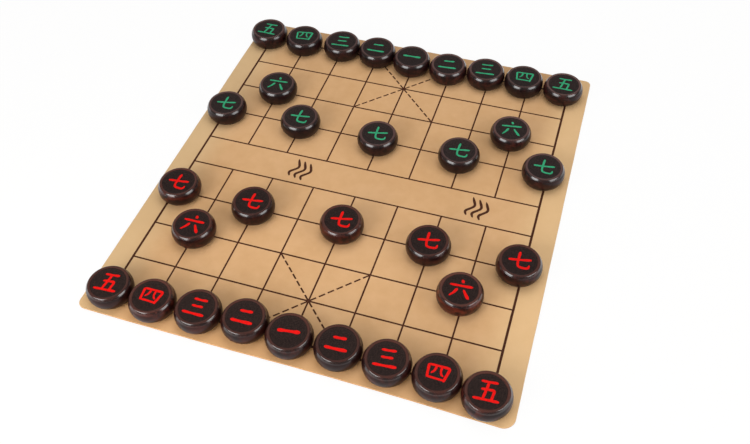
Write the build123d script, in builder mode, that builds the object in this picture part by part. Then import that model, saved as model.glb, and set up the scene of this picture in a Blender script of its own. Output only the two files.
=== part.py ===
from build123d import *

import os
from math import atan2, degrees, hypot

# A set for xiangqi: a thin leather playing mat with its printed board, and the turned wooden discs that
# stand on it in their starting places.
#
# Millimetres. The origin is the middle of the mat's underside, +Z is up, +X is to the red player's right,
# and +Y runs from the red side of the board to the green side. Left and right are the red player's.

os.makedirs("parts", exist_ok=True)

# Turned disc
disc_diameter = 48.0  # across the barrel side where it is fullest
disc_height = 20.0
waist_height = 10.4  # where the barrel side is fullest
base_inset = 5.2  # how far the side draws in from the waist down to the flat underside
shoulder_inset = 2.4  # and from the waist up to the rounded shoulder
shoulder_drop = 1.3  # the shoulder lies this far below the crown of the rim
shoulder_width = 1.4  # and this far outside it
rim_slope = 2.3  # width of the rim's inner slope, from the crown to the sunk field
field_depth = 0.7

# Room between discs that stand side by side, and between discs on the points of the board
stand_gap = 0.6
file_room = 2.0
rank_room = 1.2

# Printed board: nine files, ten ranks, and the river between the two sides
file_count = 9
rank_count = 10
river_width = 43.5
line_width = 1.8
border_width = 2.5
ink_thickness = 0.1
dash_length = 7.1
dash_gap = 2.9
palace_files = (3, 5)  # the palace lies between these files
palace_ranks = 2  # and is this many ranks deep
cannon_rank = 2
soldier_rank = 3

# Mat, and where the print lies on it
side_margin = 24.4
end_margin = 28.5
corner_radius = 10.0
face_thickness = 1.2
backing_thickness = 0.6
print_shift_x = -0.9
print_shift_y = -1.7

# Where the discs stand: a little nearer to the middle of the board than their points, and a little
# towards the red player
rank_draw = 0.983
stand_shift = -4.3
set_step = 0.5  # steps in which each disc is off its even place, set down by hand

file_pitch = disc_diameter + file_room
rank_pitch = disc_diameter + rank_room
stand_pitch = disc_diameter + stand_gap
board_width = (file_count - 1) * file_pitch
side_depth = (rank_count // 2 - 1) * rank_pitch
board_depth = 2 * side_depth + river_width
mat_width = board_width + 2 * side_margin
mat_depth = board_depth + 2 * end_margin
mat_top = backing_thickness + face_thickness
stand_height = mat_top + ink_thickness
middle_file = (file_count - 1) / 2
last_rank = rank_count - 1


def file_x(file):
    """Place of a file across the board; file 0 is at the red player's left."""
    return (file - middle_file) * file_pitch


def rank_y(rank):
    """Place of a rank along the board; rank 0 is the red home rank."""
    river = river_width - rank_pitch if rank >= rank_count // 2 else 0
    return rank * rank_pitch + river - board_depth / 2


def save(piece, name):
    piece.label = name
    export_step(piece, f"parts/{name}.step")


# Mat: a suede backing with the leather face laminated on it
with BuildSketch() as mat_outline:
    RectangleRounded(mat_width, mat_depth, corner_radius)

with BuildPart() as mat_backing:
    add(mat_outline.sketch)
    extrude(amount=backing_thickness)

with BuildPart() as mat_face:
    with BuildSketch(Plane.XY.offset(backing_thickness)):
        add(mat_outline.sketch)
    extrude(amount=face_thickness)

save(mat_backing.part, "mat_backing")
save(mat_face.part, "mat_face")

# Print: border, files and ranks. The inner files stop at the river.
print_plane = Plane((print_shift_x, print_shift_y, mat_top))

with BuildSketch(print_plane) as grid_ink:
    Rectangle(board_width + border_width, board_depth + border_width)
    Rectangle(board_width - border_width, board_depth - border_width, mode=Mode.SUBTRACT)
    for rank in range(1, last_rank):
        with Locations((0, rank_y(rank))):
            Rectangle(board_width, line_width)
    for side in (-1, 1):
        with Locations((0, side * (river_width + side_depth) / 2)):
            with GridLocations(file_pitch, 0, file_count - 2, 1):
                Rectangle(line_width, side_depth)

with BuildPart() as printed_grid:
    add(grid_ink.sketch)
    extrude(amount=ink_thickness)

# Palaces: two dashed diagonals each, a whole number of dashes to each cell they cross
dashes = round(hypot(file_pitch, rank_pitch) / (dash_length + dash_gap))
diagonal_turn = degrees(atan2(rank_pitch, file_pitch))
palace_left, palace_right = palace_files

with BuildSketch(print_plane) as palace_ink:
    for first_rank in (0, last_rank - palace_ranks):
        for file in range(palace_left, palace_right):
            for rank in range(first_rank, first_rank + palace_ranks):
                slope = 1 if (file - palace_left + rank - first_rank) % 2 == 0 else -1
                for dash in range(dashes):
                    along = (dash + 0.5) / dashes
                    across = along if slope > 0 else 1 - along
                    place = (file_x(file + across), rank_y(rank) + along * rank_pitch)
                    with Locations(Location(place, slope * diagonal_turn)):
                        Rectangle(dash_length, line_width)
    add(grid_ink.sketch_local, mode=Mode.SUBTRACT)

with BuildPart() as printed_palaces:
    add(palace_ink.sketch)
    extrude(amount=ink_thickness)

save(printed_grid.part, "printed_grid")
save(printed_palaces.part, "printed_palaces")

# Disc: one turned profile, with a barrel side, a rounded shoulder, a raised rim and a sunk field
disc_radius = disc_diameter / 2
base_radius = disc_radius - base_inset
shoulder_radius = disc_radius - shoulder_inset
crown_radius = shoulder_radius - shoulder_width
field_radius = crown_radius - rim_slope
field_height = disc_height - field_depth
waist = (disc_radius, waist_height)
shoulder = (shoulder_radius, disc_height - shoulder_drop)
crown = (crown_radius, disc_height)
crown_direction = (-2, 1)  # the shoulder still rises a little where it meets the crown

with BuildPart() as disc:
    with BuildSketch(Plane.XZ):
        with BuildLine():
            Line((0, 0), (base_radius, 0))
            TangentArc(waist, (base_radius, 0), tangent=(0, -1))
            Spline(waist, shoulder, crown, tangents=((0, 1), crown_direction))
            Polyline(crown, (field_radius, field_height), (0, field_height), (0, 0))
        make_face()
    revolve(axis=Axis.Z)

# The starting places, row by row: file and rank of each disc, and how many steps off its even place it
# was set down, across and along the board
home_row = [
    "chariot_left",
    "horse_left",
    "elephant_left",
    "advisor_left",
    "general",
    "advisor_right",
    "elephant_right",
    "horse_right",
    "chariot_right",
]
cannons = ["cannon_left", "cannon_right"]
soldiers = ["soldier_1", "soldier_2", "soldier_3", "soldier_4", "soldier_5"]
home_files = range(file_count)
cannon_files = (1, file_count - 2)
soldier_files = range(0, file_count, 2)

rows = [
    ("red", home_row, home_files, 0, [-3, -2, 1, 2, 1, 3, 4, 5, 4], [0, -4, -1, 6, -1, 2, -2, -4, -14]),
    ("red", cannons, cannon_files, cannon_rank, [-5, 0], [-3, -3]),
    ("red", soldiers, soldier_files, soldier_rank, [7, -5, 5, 4, 1], [3, -3, 3, 1, 4]),
    ("green", soldiers, soldier_files, last_rank - soldier_rank, [0, -3, -1, 1, 1], [-5, 0, -3, -3, 0]),
    ("green", cannons, cannon_files, last_rank - cannon_rank, [-4, 3], [1, 4]),
    ("green", home_row, home_files, last_rank, [-13, -9, -2, -2, -3, -3, -4, -4, -3], [7, 5, 11, 11, 1, -3, 4, 2, 1]),
]

for side, names, files, rank, across, along in rows:
    for name, file, dx, dy in zip(names, files, across, along):
        x = print_shift_x + (file - middle_file) * stand_pitch + dx * set_step
        y = print_shift_y + rank_y(rank) * rank_draw + stand_shift + dy * set_step
        save(disc.part.moved(Location((x, y, stand_height))), f"{side}_{name}")
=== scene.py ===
import random
from math import cos, pi, radians, sin

import bmesh
import bpy
from mathutils import Matrix, Quaternion, Vector


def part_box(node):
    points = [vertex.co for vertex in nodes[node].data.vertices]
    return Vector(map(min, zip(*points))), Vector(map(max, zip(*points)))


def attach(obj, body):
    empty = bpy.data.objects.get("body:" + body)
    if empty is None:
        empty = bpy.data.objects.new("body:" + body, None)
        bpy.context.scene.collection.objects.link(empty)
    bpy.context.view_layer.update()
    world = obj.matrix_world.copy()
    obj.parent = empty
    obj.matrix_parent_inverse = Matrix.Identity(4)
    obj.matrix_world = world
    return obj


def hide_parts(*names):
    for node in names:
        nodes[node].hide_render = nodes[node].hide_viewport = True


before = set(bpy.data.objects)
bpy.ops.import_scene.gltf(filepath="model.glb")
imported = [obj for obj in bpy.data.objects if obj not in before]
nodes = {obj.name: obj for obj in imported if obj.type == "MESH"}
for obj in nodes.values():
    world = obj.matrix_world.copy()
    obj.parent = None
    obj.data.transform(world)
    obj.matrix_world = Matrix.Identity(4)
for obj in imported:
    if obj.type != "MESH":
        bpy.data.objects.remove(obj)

bpy.ops.object.select_all(action="DESELECT")
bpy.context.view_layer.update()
mm = 0.001
print("frame loaded:", len(nodes), "nodes")


# camera and light

view = {
    "location": (0.22162, -0.58822, 0.67998),
    "lookAt": (0.03177, -0.05217, 0.0019),
    "roll": -2.168,  # degrees about the view axis
    "lens": 38.823,
    "sensor": 36,
    "nearest": 0.01,  # what is closer isn't drawn
}
light = {
    "aim": (0, 0, 0.01),
    "mirroredLamps": ("frontLeft", "right"),
    "tints": {"front": (1.0, 0.76, 0.48)},  # the others are white
    "lamps": {
        # name: direction in degrees round and up, distance, width, height, watts
        "overhead": (96, 76, 1.5, 1.1, 1.1, 8.5),
        "front": (-101, 12, 0.52, 0.75, 0.12, 0.85),
        "frontLeft": (-119, 26, 1.5, 0.95, 0.75, 10.3),
        "right": (-17, 25, 1.5, 0.95, 0.68, 6.7),
    },
}


def setCamera():
    camera = bpy.data.objects.new("camera", bpy.data.cameras.new("camera"))
    bpy.context.collection.objects.link(camera)
    place = Vector(view["location"])
    turn = (Vector(view["lookAt"]) - place).to_track_quat("-Z", "Y")
    turn = turn @ Quaternion((0, 0, 1), radians(view["roll"]))
    camera.matrix_world = Matrix.Translation(place) @ turn.to_matrix().to_4x4()
    camera.data.sensor_width = view["sensor"]
    camera.data.sensor_fit = "HORIZONTAL"
    camera.data.lens = view["lens"]
    camera.data.clip_start = view["nearest"]
    bpy.context.scene.camera = camera


def setLamps():
    for name, (around, up, distance, width, height, watts) in light["lamps"].items():
        lamp = bpy.data.objects.new(name, bpy.data.lights.new(name, "AREA"))
        bpy.context.collection.objects.link(lamp)
        lamp.data.shape = "RECTANGLE"
        lamp.data.size = width
        lamp.data.size_y = height
        lamp.data.energy = watts
        lamp.data.color = light["tints"].get(name, (1, 1, 1))
        lamp.visible_glossy = name in light["mirroredLamps"]
        lamp.visible_camera = False
        level = cos(radians(up))
        away = Vector((level * cos(radians(around)), level * sin(radians(around)), sin(radians(up))))
        place = Vector(light["aim"]) + distance * away
        turn = (-away).to_track_quat("-Z", "Y").to_matrix().to_4x4()
        lamp.matrix_world = Matrix.Translation(place) @ turn


setCamera()
setLamps()
bpy.context.scene.view_settings.view_transform = "Standard"
print("camera and lamps set")


# finishes

class Wire:
    # a node's output that can be used in sums like a number
    def __init__(self, tree, output):
        self.tree = tree
        self.output = output

    def maths(self, operation, first, second=None):
        node = self.tree.nodes.new("ShaderNodeMath")
        node.operation = operation
        for place, value in enumerate((first, second)):
            if isinstance(value, Wire):
                self.tree.links.new(value.output, node.inputs[place])
            elif value is not None:
                node.inputs[place].default_value = value
        return Wire(self.tree, node.outputs[0])

    def __add__(self, other):
        return self.maths("ADD", self, other)

    def __radd__(self, other):
        return self.maths("ADD", other, self)

    def __sub__(self, other):
        return self.maths("SUBTRACT", self, other)

    def __rsub__(self, other):
        return self.maths("SUBTRACT", other, self)

    def __mul__(self, other):
        return self.maths("MULTIPLY", self, other)

    def __rmul__(self, other):
        return self.maths("MULTIPLY", other, self)

    def __pow__(self, other):
        return self.maths("POWER", self, other)

    def __gt__(self, other):
        return self.maths("GREATER_THAN", self, other)


class Finish:
    # a material with its shader, and what is needed to feed it
    def __init__(self, name, **values):
        self.material = bpy.data.materials.new(name)
        self.material.use_nodes = True
        self.tree = self.material.node_tree
        self.shader = self.tree.nodes["Principled BSDF"]
        self.feed(self.shader, values)

    def feed(self, node, values):
        for name, value in values.items():
            socket = node.inputs[name if isinstance(name, int) else name.replace("_", " ")]
            if isinstance(value, Wire):
                self.tree.links.new(value.output, socket)
            else:
                socket.default_value = value

    def node(self, kind, settings, values, output=0):
        node = self.tree.nodes.new("ShaderNode" + kind)
        for name, value in settings.items():
            setattr(node, name, value)
        self.feed(node, values)
        return Wire(self.tree, node.outputs[output])

    def position(self):
        return self.node("TexCoord", {}, {}, "Object")

    def stored(self, name, output="Vector"):
        return self.node("Attribute", {"attribute_name": name}, {}, output)

    def rays(self, kind):
        return self.node("LightPath", {}, {}, f"Is {kind} Ray")

    def stretch(self, vector, factors):
        return self.node("VectorMath", {"operation": "MULTIPLY"}, {0: vector, 1: factors})

    def part(self, vector, axis):
        return self.node("SeparateXYZ", {}, {"Vector": vector}, axis)

    def noise(self, vector, scale, detail=3.0, roughness=0.5):
        values = {"Vector": vector, "Scale": scale, "Detail": detail, "Roughness": roughness}
        return self.node("TexNoise", {}, values)

    def cells(self, vector, scale, feature="F1"):
        return self.node("TexVoronoi", {"feature": feature}, {"Vector": vector, "Scale": scale})

    def step(self, value, start, end):
        # 0 below start and 1 past end, with a soft change between them
        values = {"Value": value, "From Min": start, "From Max": end}
        return self.node("MapRange", {"interpolation_type": "SMOOTHSTEP"}, values)

    def mix(self, share, first, second):
        values = {0: share, 6: first, 7: second}
        return self.node("Mix", {"data_type": "RGBA"}, values, 2)

    def bump(self, height, distance, strength=1.0):
        values = {"Height": height, "Distance": distance, "Strength": strength}
        return self.node("Bump", {}, values, "Normal")


class Sky(Finish):
    # the same for the world
    def __init__(self, name):
        world = bpy.data.worlds.new(name)
        bpy.context.scene.world = world
        world.use_nodes = True
        self.tree = world.node_tree
        self.shader = self.tree.nodes["Background"]


def paint(red, green, blue):
    # a colour as a screen shows it, from 0 to 255
    def linear(n):
        n /= 255
        return n / 12.92 if n <= 0.04045 else ((n + 0.055) / 1.055) ** 2.4
    return (linear(red), linear(green), linear(blue), 1)


def dress(piece, finish):
    piece.data.materials.clear()
    piece.data.materials.append(finish.material)


leatherLook = {
    "colour": (212, 170, 124),
    "dark": (199, 154, 106),
    "light": (220, 179, 135),
    "evenness": 0.55,  # how far its clouds fade into the plain colour
    "clouds": 5.5,  # to a metre, as all scales of patterns here
    "mottle": 70,
    "margins": (0.165, 0.215),  # beside the print, painted light sets in between these distances from the middle
    "halves": (-0.1, 0.1),  # the left half's painted light turns into the right half's, which is lighter, between these
    # how far the margins take on painted light, and its colour on the left and on the right
    "litMarginShare": 0.5,
    "litMarginLeft": (206, 184, 143),
    "litMarginRight": (232, 200, 151),
    # the cut edge's colour: partly its own, partly painted shade
    "cutEdge": (178, 132, 86),
    "grain": 760,
    "fineGrain": 2600,
    "grainDepth": 0.00006,
    "creases": 0.22,  # how far painted shade darkens them
    "cut": 0.85,
}
suedeLook = {
    "dark": (158, 118, 82),
    "light": (182, 142, 102),
    "shade": (120, 86, 58),  # between the hairs
    "nap": 900,
    "napDepth": 0.0002,
    "brushed": (14, 34, 14),
}
inkLook = {
    "full": (70, 39, 28),
    "worn": (100, 64, 45),
    "wear": 0.55,
    "specks": 420,
    "patches": 24,
}


def grainHeight(finish, place):
    # small rounded pebbles with creases between them
    pebbles = finish.cells(place, leatherLook["grain"], "SMOOTH_F1")
    fine = finish.noise(place, leatherLook["fineGrain"], 2)
    return 0.75 * pebbles + 0.25 * fine


def makeLeather():
    look = leatherLook
    finish = Finish("tanLeather", Specular_IOR_Level=0.15)
    place = finish.position()
    clouds = finish.noise(place, look["clouds"], 4, 0.55)
    mottle = finish.noise(place, look["mottle"], 4, 0.6)
    height = grainHeight(finish, place)
    share = finish.step(0.6 * clouds + 0.4 * mottle, 0.32, 0.68)
    colour = finish.mix(share, paint(*look["dark"]), paint(*look["light"]))
    colour = finish.mix(look["evenness"], colour, paint(*look["colour"]))

    # painted light: the open margins beside the print are lighter and yellower, the right one more than the
    # left
    across = finish.part(place, "X")
    margin = finish.step(across.maths("ABSOLUTE", across), *look["margins"])
    onRight = finish.step(across, *look["halves"])
    litMarginColour = finish.mix(onRight, paint(*look["litMarginLeft"]), paint(*look["litMarginRight"]))
    colour = finish.mix(margin * look["litMarginShare"], colour, litMarginColour)
    # painted shade: the creases between the pebbles are darkened
    creaseShade = finish.step(height, 0.62, 0.9) * look["creases"]
    colour = finish.mix(creaseShade, colour, paint(*look["dark"]))
    # the faces turned sideways, the sheet's cut edge, are darker: partly its own colour, partly painted
    # shade
    facing = finish.part(finish.node("NewGeometry", {}, {}, "Normal"), "Z")
    cut = 1 - finish.step(facing, 0.2, 0.75)
    colour = finish.mix(cut * look["cut"], colour, paint(*look["cutEdge"]))
    values = {
        "Base Color": colour,
        "Roughness": 0.52 + 0.16 * mottle,
        "Normal": finish.bump(1 - height, look["grainDepth"], 0.7),
    }
    finish.feed(finish.shader, values)
    return finish


def makeSuede():
    look = suedeLook
    finish = Finish("suede", Roughness=0.95, Specular_IOR_Level=0.15, Sheen_Weight=0.25)
    place = finish.position()
    nap = finish.noise(place, look["nap"], 5, 0.7)
    brushed = finish.noise(finish.stretch(place, look["brushed"]), 1, 3)
    colour = finish.mix(finish.step(brushed, 0.35, 0.65), paint(*look["dark"]), paint(*look["light"]))
    colour = finish.mix(finish.step(nap, 0.3, 0.7) * 0.3, colour, paint(*look["shade"]))
    finish.feed(finish.shader, {"Base Color": colour, "Normal": finish.bump(nap, look["napDepth"], 0.6)})
    return finish


def makeInk():
    look = inkLook
    finish = Finish("brownInk", Specular_IOR_Level=0.1)
    place = finish.position()
    specks = finish.noise(place, look["specks"], 4, 0.65)
    patches = finish.noise(place, look["patches"], 2)
    worn = finish.step(0.6 * specks + 0.4 * patches, 0.42, 0.72) * look["wear"]
    values = {
        "Base Color": finish.mix(worn, paint(*look["full"]), paint(*look["worn"])),
        "Roughness": 0.45 + 0.2 * specks,
        "Normal": finish.bump(1 - grainHeight(finish, place), leatherLook["grainDepth"], 0.5),
    }
    finish.feed(finish.shader, values)
    return finish


woodLook = {
    "pore": (12, 8, 8),
    "field": (31, 23, 22),
    "mottle": (52, 38, 36),
    "speck": (74, 60, 56),
    "streaks": (22, 210, 210),  # along and across the grain
    "pores": (170, 2300, 2300),
    "poreDepth": 0.12,  # against that of the stipple
    "stipple": 1500,
    "stippleGrain": 5200,
    "patches": 620,
    "relief": 0.00012,
    "dots": 104,  # in the ring round the field
    "dotRing": 0.0167,
    "dotRadius": 0.0003,
    "dotRoom": (0.0003, 0.0007),  # no stipple this close to the ring
    "fieldEdge": 0.0179,
    "fieldBlur": 0.0002,
    "fieldHeight": 0.0193,
    "topDepth": 0.0012,
    "rimShare": (0.45, 0.4),  # of the rim's colour, partly the wood's own and partly painted reflection, and what the disc's redness adds
    "rimSpan": (-0.0002, 0.0011, 0.0017, 0.0038),  # past the field's edge: where it sets in and fades
    "polished": (0.0162, 0.0186),  # the polish sets in between these heights
    "polish": (0.08, 0.92),  # below them, and what they add
}


def makeWood(name, **changes):
    look = woodLook | changes
    finish = Finish(name, Specular_IOR_Level=0.15, Coat_Roughness=0.19, Coat_IOR=1.8)
    turned = finish.stored("turned")  # place in the disc, from the middle of its underside
    grain = finish.stored("grain")  # the same, in another bit of the plank for each disc
    tone = finish.stored("tone", "Fac")
    level = finish.stretch(turned, (1, 1, 0))
    radius = finish.node("VectorMath", {"operation": "LENGTH"}, {0: level}, "Value")
    height = finish.part(turned, "Z")
    edge = look["fieldEdge"]
    onTop = height > look["fieldHeight"] - look["topDepth"]
    field = (1 - finish.step(radius, edge - look["fieldBlur"], edge + look["fieldBlur"])) * onTop

    streaks = finish.noise(finish.stretch(grain, look["streaks"]), 1, 4, 0.55)
    pores = finish.step(finish.noise(finish.stretch(grain, look["pores"]), 1, 2), 0.56, 0.7)
    colour = finish.mix(finish.step(streaks, 0.35, 0.75) * tone, paint(*look["dark"]), paint(*look["red"]))
    colour = finish.mix(pores * 0.7, colour, paint(*look["pore"]))
    # the lighter ring on the rim: partly the wood's own colour, partly painted reflection of the sky on its
    # crown
    starts, full, fades, ends = (edge + out for out in look["rimSpan"])
    rim = finish.step(radius, starts, full) * (1 - finish.step(radius, fades, ends))
    least, more = look["rimShare"]
    colour = finish.mix(rim * onTop * (least + more * tone), colour, paint(*look["rim"]))

    # the sunk field: stippled, with a ring of dots
    speck = 1 - finish.step(finish.cells(turned, look["stipple"]), 0.2, 0.5)
    angle = finish.part(turned, "Y").maths("ARCTAN2", finish.part(turned, "Y"), finish.part(turned, "X"))
    along = angle.maths("FRACT", angle * (look["dots"] / (2 * pi))) - 0.5
    along = along * (2 * pi * look["dotRing"] / look["dots"])
    across = radius - look["dotRing"]
    offDot = (along * along + across * across) ** 0.5
    dot = 1 - finish.step(offDot, look["dotRadius"] * 0.5, look["dotRadius"] * 1.2)
    besideDots = finish.step(across.maths("ABSOLUTE", across), *look["dotRoom"])
    pitted = dot.maths("MAXIMUM", dot, speck * besideDots * 0.8)
    mottle = finish.step(finish.noise(turned, look["patches"], 3, 0.6), 0.4, 0.66)
    fieldColour = finish.mix(mottle * 0.6, paint(*look["field"]), paint(*look["mottle"]))
    fieldColour = finish.mix(pitted * 0.6, fieldColour, paint(*look["speck"]))

    worked = 0.8 * pitted + 0.2 * finish.noise(turned, look["stippleGrain"], 2)
    relief = field * worked - (1 - field) * pores * look["poreDepth"]
    matt, shine = look["polish"]
    values = {
        "Base Color": finish.mix(field, colour, fieldColour),
        "Roughness": 0.27 + 0.1 * streaks + field * 0.32,
        "Coat Weight": (1 - field) * (matt + shine * finish.step(height, *look["polished"])),
        "Normal": finish.bump(relief, look["relief"], 0.6),
    }
    finish.feed(finish.shader, values)
    return finish


paintLook = {
    "lumps": 480,
    "depth": 0.00012,
}


def makePaint(name, colour, deep):
    finish = Finish(name, Specular_IOR_Level=0.12)
    thick = finish.noise(finish.position(), paintLook["lumps"], 3, 0.6)
    values = {
        "Base Color": finish.mix(finish.step(thick, 0.3, 0.7), paint(*deep), paint(*colour)),
        "Roughness": 0.34 + 0.18 * thick,
        "Normal": finish.bump(thick, paintLook["depth"], 0.5),
    }
    finish.feed(finish.shader, values)
    return finish


sideLooks = {
    # each side's rim colour is partly painted reflection
    "redWood": {"dark": (27, 13, 13), "red": (90, 37, 27), "rim": (91, 55, 46)},
    # painted reflection: the green side's field, mottle and rim are lighter and greyer than the red's, for
    # the sheen of these far discs
    "greenWood": {
        "dark": (25, 15, 16), "red": (73, 34, 29), "rim": (108, 80, 76),
        "field": (35, 29, 29), "mottle": (58, 48, 47),
    },
    "redPaint": {"colour": (230, 19, 14), "deep": (212, 12, 10)},
    "greenPaint": {"colour": (60, 170, 124), "deep": (44, 148, 104)},
}
finishes = {
    "leather": makeLeather(),
    "suede": makeSuede(),
    "ink": makeInk(),
    "red_wood": makeWood("redSideWood", **sideLooks["redWood"]),
    "green_wood": makeWood("greenSideWood", **sideLooks["greenWood"]),
    "red_paint": makePaint("redPaint", **sideLooks["redPaint"]),
    "green_paint": makePaint("greenPaint", **sideLooks["greenPaint"]),
}
print("finishes made:", len(finishes))


# tools for modelling by hand

mergeWithin = 2e-6


def edit(selectMode="FACE"):
    bpy.ops.object.mode_set(mode="EDIT")
    bpy.ops.mesh.select_mode(type=selectMode)


def done():
    bpy.ops.object.mode_set(mode="OBJECT")


def pick(kind, test):
    # in edit mode, selects the points, edges or faces that pass the test, and nothing else
    bpy.ops.mesh.select_all(action="DESELECT")
    mesh = bmesh.from_edit_mesh(bpy.context.object.data)
    for one in getattr(mesh, kind):
        if test(one):
            one.select_set(True)
    bmesh.update_edit_mesh(bpy.context.object.data)


def isSharp(edge):
    return len(edge.link_faces) == 2 and edge.calc_face_angle(0) > 1


def isAbove(edge, height):
    return all(end.co.z > height for end in edge.verts)


def only(piece):
    bpy.ops.object.select_all(action="DESELECT")
    piece.select_set(True)
    bpy.context.view_layer.objects.active = piece


def modify(piece, kind, **settings):
    only(piece)
    bpy.ops.object.modifier_add(type=kind)
    modifier = piece.modifiers[-1]
    for name, value in settings.items():
        setattr(modifier, name, value)
    bpy.ops.object.modifier_apply(modifier=modifier.name)


def tidyMesh(piece, smoothAngle=None):
    only(piece)
    edit()
    bpy.ops.mesh.select_all(action="SELECT")
    bpy.ops.mesh.remove_doubles(threshold=mergeWithin)
    bpy.ops.mesh.normals_make_consistent(inside=False)
    done()
    if smoothAngle:
        bpy.ops.object.shade_smooth_by_angle(angle=radians(smoothAngle))
    bpy.ops.object.select_all(action="DESELECT")


def settle(piece):
    # puts the piece's place into its mesh
    only(piece)
    bpy.ops.object.transform_apply(location=True, rotation=True, scale=True)
    bpy.ops.object.select_all(action="DESELECT")


def copyOf(piece, name):
    twin = piece.copy()
    twin.data = piece.data.copy()
    twin.name = twin.data.name = name
    bpy.context.collection.objects.link(twin)
    return twin


def discard(piece):
    bpy.data.objects.remove(piece, do_unlink=True)


# mat: a leather face on a suede backing

mat = {
    "cornerSteps": 10,
    "edgeSteps": 60,  # points along each straight side
    "rings": (0.0006, 0.0014, 0.002, 0.003),  # how far in each ring of faces lies from the last
    "liftWidth": 0.0055,  # the edge rises from this far in
    "lift": 0.00035,
    "swells": ((0.25, 11, 31), (0.2, 17, -43)),  # in the rise: strength, waves across and along
    "stray": 0.00012,  # how far the cut strays from its line
    "strayWidth": 0.002,  # and how far in that is felt
    "straySides": (57, 141, 2),  # slow waves, fast waves, start
    "strayEnds": (49, 163, 1),
    # the sheet isn't quite square: how far each corner lies off, across and along, and its radius
    "corners": {
        (-1, -1): (-1.6, 1.7, 8.5),
        (1, -1): (1.0, -2.4, 12.0),
        (1, 1): (-1.3, -0.2, 7.0),
        (-1, 1): (-0.1, 1.2, 10.0),
    },
    "hollow": (0.07, 0.2, 0.002),  # in the near side: its middle, half its length, its depth
    "round": 0.0004,
    "roundDepth": 0.0002,  # sharp edges are rounded this close to the top
    "backingInset": 0.0002,  # the backing is cut this much smaller
    "smooth": 50,
    "flat": (0.4488, 0.4941),
}


def waver(along, slow, fast, start):
    # between -1.6 and 1.6
    return sin(slow * along + start) + 0.6 * sin(fast * along)


def shapeMatPoint(point, halfWidth, halfDepth):
    # lifts and frays the edge, hollows the near side and draws the corners to their places
    x, y = point.co.x, point.co.y
    fromEdge = min(halfWidth - abs(x), halfDepth - y)
    rise = max(0.0, 1 - fromEdge / mat["liftWidth"]) ** 2
    swell = 0.55
    for strength, across, along in mat["swells"]:
        swell += strength * sin(across * x + along * y)
    point.co.z += mat["lift"] * rise * swell
    stray = mat["stray"] * max(0.0, 1 - min(fromEdge, y + halfDepth) / mat["strayWidth"])
    point.co.x += stray * waver(y, *mat["straySides"]) / 1.6
    point.co.y += stray * waver(x, *mat["strayEnds"]) / 1.6
    middle, reach, deep = mat["hollow"]
    hollow = cos(pi / 2 * min(1.0, abs(x - middle) / reach)) ** 2
    point.co.y += deep * hollow * (0.5 - 0.5 * y / halfDepth)
    for (right, far), (dx, dy, _) in mat["corners"].items():
        share = (0.5 + 0.5 * right * x / halfWidth) * (0.5 + 0.5 * far * y / halfDepth)
        point.co.x += share * dx * mm
        point.co.y += share * dy * mm


def makeMatLayer(name, node, inset, roundTop):
    low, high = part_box(node)
    width, depth = high.x - low.x - 2 * inset, high.y - low.y - 2 * inset
    bpy.ops.mesh.primitive_plane_add(size=1, location=(0, 0, high.z))
    layer = bpy.context.object
    layer.name = layer.data.name = name
    layer.scale = (width, depth, 1)
    settle(layer)
    only(layer)
    edit("VERT")
    for (right, far), (_, _, radius) in mat["corners"].items():
        pick("verts", lambda one: one.co.x * right > 0 and one.co.y * far > 0)
        bpy.ops.mesh.bevel(offset=radius * mm - inset, segments=mat["cornerSteps"], affect="VERTICES")
    bpy.ops.mesh.select_mode(type="EDGE")
    pick("edges", lambda one: one.calc_length() > 0.1)  # the straight sides
    bpy.ops.mesh.subdivide(number_cuts=mat["edgeSteps"])
    bpy.ops.mesh.select_mode(type="FACE")
    bpy.ops.mesh.select_all(action="SELECT")
    for ring in mat["rings"]:
        bpy.ops.mesh.inset(thickness=ring, depth=0)
    done()

    for point in layer.data.vertices:
        shapeMatPoint(point, width / 2, depth / 2)
    modify(layer, "SOLIDIFY", thickness=high.z - low.z, offset=-1, use_even_offset=False)
    if roundTop:
        only(layer)
        edit("EDGE")
        pick("edges", lambda one: isSharp(one) and isAbove(one, high.z - mat["roundDepth"]))
        bpy.ops.mesh.bevel(offset=mat["round"], segments=3, affect="EDGES")
        done()
    tidyMesh(layer, mat["smooth"])
    return layer


leather = makeMatLayer("leather_sheet", "mat_face", 0, True)
backing = makeMatLayer("suede_sheet", "mat_backing", mat["backingInset"], False)
dress(leather, finishes["leather"])
dress(backing, finishes["suede"])
for name in ("printed_grid", "printed_palaces"):
    dress(nodes[name], finishes["ink"])
print("mat made:", len(leather.data.polygons), "faces")


# brush strokes, for the marks on the discs and the waves on the mat

brush = {
    "sideSteps": 3,
    "lengthSteps": 5,
    "tip": 0.45,  # width of a stroke's end against its full width
    "tipReach": 0.8,  # how far in the full width is, in half widths
    "tipSwell": 1.12,  # and how much wider it is there
    "stagger": 0.00001,  # each stroke of a mark lies this much higher than the last
    "block": 0.1,  # cuts marks off at a level
    "smooth": 30,
}


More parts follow.
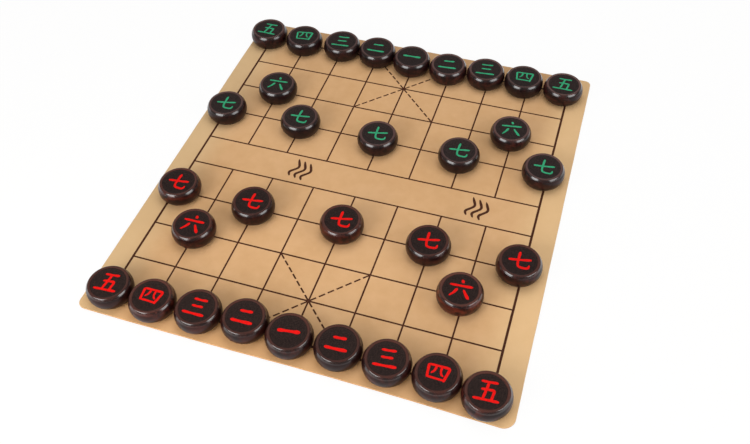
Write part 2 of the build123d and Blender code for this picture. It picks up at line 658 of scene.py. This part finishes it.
def makeStroke(points, unit, halfWidth, height, flatness):
    # points are across, along and share of the full width, in units from the middle of the mark
    bpy.ops.curve.primitive_nurbs_path_add(location=(0, 0, 0))
    stroke = bpy.context.object
    curve = stroke.data
    curve.splines.clear()
    spline = curve.splines.new("NURBS")
    places = [Vector((x, y, 0)) * unit for x, y, _ in points]
    widths = [share * halfWidth for _, _, share in points]
    first = places[0] + (places[1] - places[0]).normalized() * (brush["tipReach"] * widths[0])
    last = places[-1] + (places[-2] - places[-1]).normalized() * brush["tipReach"] * widths[-1]
    places.insert(1, first)
    widths.insert(1, widths[0] * brush["tipSwell"])
    places.insert(-1, last)
    widths.insert(-1, widths[-1] * brush["tipSwell"])
    widths[0] *= brush["tip"]
    widths[-1] *= brush["tip"]
    spline.points.add(len(places) - 1)
    for point, place, width in zip(spline.points, places, widths):
        point.co = (*place, 1)
        point.radius = width
    spline.order_u = 3
    spline.use_endpoint_u = True
    spline.resolution_u = brush["lengthSteps"]
    curve.bevel_depth = 1
    curve.bevel_resolution = brush["sideSteps"]
    curve.use_fill_caps = True
    only(stroke)
    bpy.ops.object.convert(target="MESH")
    stroke.scale = (1, 1, flatness)
    stroke.location = (0, 0, height)
    settle(stroke)
    tidyMesh(stroke)
    return stroke


def makeMark(strokes, unit, halfWidth, height, depth):
    # all the strokes of a mark as one closed solid
    flatness = depth / halfWidth
    heights = [height + brush["stagger"] * number for number in range(len(strokes))]
    whole, *others = [
        makeStroke(points, unit, halfWidth, level, flatness) for points, level in zip(strokes, heights)
    ]
    for other in others:
        modify(whole, "BOOLEAN", object=other, operation="UNION", solver="EXACT")
        discard(other)
    return whole


def cutLevel(piece, height, keepUpper):
    # cuts off what lies below a level, or above it
    size = brush["block"]
    middle = height - size / 2 if keepUpper else height + size / 2
    bpy.ops.mesh.primitive_cube_add(size=size, location=(0, 0, middle))
    block = bpy.context.object
    settle(block)
    modify(piece, "BOOLEAN", object=block, operation="DIFFERENCE", solver="EXACT")
    discard(block)
    tidyMesh(piece, brush["smooth"])


# discs: turned, with a carved and painted number

disc = {
    "sides": 96,
    # the profile in millimetres, out and up
    "base": 18.8,
    "foot": (0.35, 0.25),  # round between the underside and the side: in, up
    "footMiddle": (0.1, 0.07),
    "waist": (24.0, 10.4),
    "lowerRadius": 13.0,
    "lowerTurns": range(-50, 1, 5),  # degrees, from well below the waist up to it
    "upper": ((24.0, 10.4), (24.0, 14.4), (23.0, 16.9), (21.8, 18.5)),
    "shoulder": ((21.8, 18.5), (21.2, 19.3), (20.9, 20.0), (20.1, 20.0)),
    "inner": ((20.1, 20.0), (19.0, 20.0), (18.5, 19.3), (17.9, 19.3)),
    "steps": {"upper": 9, "shoulder": 7, "inner": 5},
    "field": 19.3,
    "smooth": 30,
    # how each disc stands, and its wood
    "seed": 7,
    "turn": 5,  # degrees to each side
    "redness": (0.25, 0.35, 0.45, 0.6, 0.8),  # each disc has one of these
    "rednessOf": {  # but for those that stand out
        "red_cannon_right": 1.4,
        "red_elephant_right": 0.4,
        "red_advisor_right": 0.15,
        "red_horse_right": 0.3,
        "green_soldier_1": 0.35,
        "green_soldier_4": 0.25,
        "green_elephant_left": 0.4,
    },
}


def bend(points, steps):
    # points along a curve with four handles, without its first
    a, b, c, d = (Vector(point) for point in points)
    curve = []
    for n in range(steps):
        t = (n + 1) / steps
        curve.append((1 - t) ** 3 * a + 3 * (1 - t) ** 2 * t * b + 3 * (1 - t) * t * t * c + t ** 3 * d)
    return curve


def turnBlank():
    footIn, footUp = disc["foot"]
    middleIn, middleUp = disc["footMiddle"]
    wide, waist = disc["waist"]
    middle = wide - disc["lowerRadius"]
    profile = [Vector((disc["base"] - footIn, 0)), Vector((disc["base"] - middleIn, middleUp))]
    for turn in disc["lowerTurns"]:
        angle = radians(turn)
        side = Vector((middle + disc["lowerRadius"] * cos(angle), waist + disc["lowerRadius"] * sin(angle)))
        if side.y > footUp:
            profile.append(side)
    for stretch, steps in disc["steps"].items():
        profile += bend(disc[stretch], steps)
    profile = [point * mm for point in profile]

    bpy.ops.mesh.primitive_circle_add(vertices=disc["sides"], radius=profile[0].x, fill_type="NGON")
    blank = bpy.context.object
    edit()
    bpy.ops.mesh.select_all(action="SELECT")
    for last, now in zip(profile, profile[1:]):
        bpy.ops.mesh.extrude_region_move(TRANSFORM_OT_translate={"value": (0, 0, now.y - last.y)})
        wider = now.x / last.x
        bpy.ops.transform.resize(value=(wider, wider, 1), center_override=(0, 0, now.y))
    done()
    tidyMesh(blank, disc["smooth"])
    return blank


mark = {
    "unit": 0.0138,
    "depth": 0.00055,
    "above": 0.00005,  # the brush is held this far over the field
    "paintBelow": 0.00012,  # the paint lies this far under it
    "smooth": 32,
    "sideWidth": {"red": 1.0, "green": 0.84},
}

# each number's half width of stroke in metres, and its strokes
numbers = {
    "general": (0.0021, [[(-0.82, -0.06, 1.1), (-0.3, 0.0, 0.75), (0.3, 0.06, 0.8), (0.82, 0.12, 1.2)]]),
    "advisor": (0.0018, [
        [(-0.48, 0.4, 1), (0, 0.43, 0.75), (0.48, 0.5, 1.1)],
        [(-0.82, -0.5, 1.1), (-0.2, -0.48, 0.75), (0.82, -0.4, 1.25)],
    ]),
    "elephant": (0.0016, [
        [(-0.52, 0.6, 1), (0, 0.62, 0.75), (0.52, 0.7, 1.1)],
        [(-0.42, 0.04, 1), (0, 0.06, 0.75), (0.44, 0.12, 1.1)],
        [(-0.84, -0.64, 1.1), (-0.1, -0.6, 0.75), (0.84, -0.52, 1.25)],
    ]),
    "horse": (0.0014, [
        [(-0.74, 0.5, 1.1), (-0.66, 0, 0.9), (-0.58, -0.54, 1)],
        [(-0.74, 0.48, 1), (0, 0.54, 0.85), (0.74, 0.58, 1.2)],
        [(0.72, 0.6, 1.1), (0.64, 0, 1), (0.56, -0.54, 1.1)],
        [(-0.2, 0.5, 1), (-0.22, 0.14, 0.9), (-0.42, -0.16, 0.7)],
        [(0.18, 0.52, 1), (0.17, 0.22, 0.85), (0.26, -0.04, 0.85), (0.46, -0.16, 0.75)],
        [(-0.58, -0.46, 1), (0, -0.43, 0.85), (0.56, -0.42, 1)],
    ]),
    "chariot": (0.0015, [
        [(-0.56, 0.68, 1), (0, 0.7, 0.8), (0.58, 0.76, 1.1)],
        [(-0.02, 0.7, 1), (-0.1, 0.1, 0.9), (-0.22, -0.6, 1)],
        [(-0.46, 0.1, 1), (0, 0.14, 0.85), (0.46, 0.18, 1.1)],
        [(0.43, 0.2, 1.05), (0.4, -0.2, 0.9), (0.34, -0.62, 1)],
        [(-0.88, -0.66, 1.1), (0, -0.62, 0.8), (0.88, -0.58, 1.2)],
    ]),
    "cannon": (0.0016, [
        [(-0.04, 0.86, 0.8), (0.1, 0.56, 1.2)],
        [(-0.84, 0.26, 1), (0, 0.3, 0.8), (0.84, 0.36, 1.2)],
        [(-0.22, 0.02, 1.1), (-0.4, -0.4, 0.9), (-0.7, -0.76, 0.6)],
        [(0.22, 0.0, 0.8), (0.46, -0.36, 1), (0.74, -0.74, 1.2)],
    ]),
    "soldier": (0.0016, [
        [(-0.84, -0.06, 1.1), (0, 0.06, 0.8), (0.84, 0.24, 1.1)],
        [(-0.1, 0.82, 1.1), (-0.12, 0.2, 0.9), (-0.12, -0.4, 0.9), (0.04, -0.62, 1),
         (0.6, -0.62, 1), (0.72, -0.5, 0.9), (0.74, -0.24, 0.6)],
    ]),
}


def store(piece, name, kind, values):
    attribute = piece.data.attributes.new(name, kind, "POINT")
    attribute.data.foreach_set("vector" if kind == "FLOAT_VECTOR" else "value", values)


def stand(piece, place, turn):
    piece.rotation_euler = (0, 0, turn)
    piece.location = place
    settle(piece)


def carveNumbers(blank):
    # a carved disc for each side and number, and the paint that fills it
    patterns = {}
    field = disc["field"] * mm
    for side, width in mark["sideWidth"].items():
        for kind, (halfWidth, strokes) in numbers.items():
            carver = makeMark(strokes, mark["unit"], halfWidth * width, field + mark["above"], mark["depth"])
            carved = copyOf(blank, "carved")
            modify(carved, "BOOLEAN", object=carver, operation="DIFFERENCE", solver="EXACT")
            tidyMesh(carved, mark["smooth"])
            cutLevel(carver, field - mark["paintBelow"], False)
            patterns[side, kind] = carved, carver
        print(side, "numbers carved")
    return patterns


def setDown(name, side, carved, painted):
    # stands one disc and its number where the node is
    low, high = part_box(name)
    place = ((low.x + high.x) / 2, (low.y + high.y) / 2, low.z)
    turn = radians(random.uniform(-disc["turn"], disc["turn"]))
    redness = random.choice(disc["redness"])
    redness = disc["rednessOf"].get(name, redness)
    swing = Matrix.Rotation(random.uniform(0, 2 * pi), 3, "Z")
    shift = Vector([random.uniform(-1, 1) for _ in range(3)])

    wood = copyOf(carved, name + "_wood")
    number = copyOf(painted, name + "_number")
    local = [Vector(point.co) for point in wood.data.vertices]
    store(wood, "turned", "FLOAT_VECTOR", [n for point in local for n in point])
    store(wood, "grain", "FLOAT_VECTOR", [n for point in local for n in swing @ point + shift])
    store(wood, "tone", "FLOAT", [redness] * len(local))
    dress(wood, finishes[side + "_wood"])
    dress(number, finishes[side + "_paint"])
    for piece in (wood, number):
        stand(piece, place, turn)
        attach(piece, name)
    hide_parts(name)
    side + "_side_wood"
    side + "_paint"


def makeDiscs():
    blank = turnBlank()
    patterns = carveNumbers(blank)
    discard(blank)

    random.seed(disc["seed"])
    count = 0
    for name in sorted(nodes):
        side, kind = name.split("_")[:2]
        if (side, kind) in patterns:
            setDown(name, side, *patterns[side, kind])
            count += 1
    for carved, painted in patterns.values():
        discard(carved)
        discard(painted)
    print("discs made:", count)


makeDiscs()


# waves in the river, brushed in the same ink as the board

wave = {
    "places": {"river_wave_left": (-0.0741, -0.0019, 78), "river_wave_right": (0.1349, -0.0019, 78)},
    "unit": 0.0145,
    "halfWidth": 0.0015,
    "thickness": 0.00009,
    "rows": (0.55, 0.0, -0.55),
    "stroke": [
        (-0.95, 0, 0.7),
        (-0.6, 0.28, 1.1),
        (-0.2, -0.02, 1),
        (0.2, -0.26, 1),
        (0.62, 0.04, 1.1),
        (0.95, 0.26, 0.5),
    ],
}


def makeWaves():
    made = []
    low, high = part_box("mat_face")
    strokes = [[(x, row + y, share) for x, y, share in wave["stroke"]] for row in wave["rows"]]
    for name, (x, y, turn) in wave["places"].items():
        waves = makeMark(strokes, wave["unit"], wave["halfWidth"], 0, wave["thickness"])
        cutLevel(waves, 0, True)
        waves.name = waves.data.name = name
        stand(waves, (x, y, high.z), radians(turn))
        dress(waves, finishes["ink"])
        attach(waves, "mat")
        made.append(waves)
    return made


waves = makeWaves()
print("waves made:", len(waves))


# the mat's layers go with the mat, in place of its nodes

for layer, node, slot in ((leather, "mat_face", "leather"), (backing, "mat_backing", "backing")):
    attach(layer, "mat")
    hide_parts(node)


# floor and sky

stage = {
    "floorSize": 12,
    "floorHeight": -0.00005,
    "floorColour": (250, 250, 250),
    "floorGlow": 0.92,  # share of the floor's white that no shadow takes away
    "sky": 0.4,  # the sky's light on the object, against 1 where it is seen
    "skyColour": (1.0, 0.95, 0.9, 1),
    "mirrored": 0.1,  # what gloss shows of the sky above the horizon, against 1 below it
    "horizon": (0.0, 0.05),
    "white": (1, 1, 1, 1),
}


def seenOrMirrored(finish):
    # 1 where the camera, gloss or glass looks, and 0 for the light that falls on things
    seen, mirrored, through = (finish.rays(kind) for kind in ("Camera", "Glossy", "Transmission"))
    return seen.maths("MAXIMUM", seen, mirrored.maths("MAXIMUM", mirrored, through))


def makeFloor():
    bpy.ops.mesh.primitive_plane_add(size=stage["floorSize"], location=(0, 0, stage["floorHeight"]))
    floor = bpy.context.object
    floor.name = "floor"
    finish = Finish("floorWhite", Base_Color=paint(*stage["floorColour"]), Roughness=0.9)
    glow = finish.node("Emission", {}, {"Color": stage["white"], "Strength": 1.0})
    share = seenOrMirrored(finish) * stage["floorGlow"]
    lit = Wire(finish.tree, finish.shader.outputs[0])
    both = finish.node("MixShader", {}, {0: share, 1: lit, 2: glow})
    finish.feed(finish.tree.nodes["Material Output"], {"Surface": both})
    dress(floor, finish)


def makeSky():
    sky = Sky("studio")
    up = sky.part(sky.node("TexCoord", {}, {}, "Generated"), "Z")
    above = sky.step(up, *stage["horizon"]) * sky.rays("Glossy")
    white = seenOrMirrored(sky)
    values = {
        "Color": sky.mix(white, stage["skyColour"], stage["white"]),
        "Strength": white * (1 - stage["sky"]) + stage["sky"] - above * (1 - stage["mirrored"]),
    }
    sky.feed(sky.shader, values)


makeFloor()
makeSky()
print("floor and sky made")

bpy.ops.object.select_all(action="DESELECT")
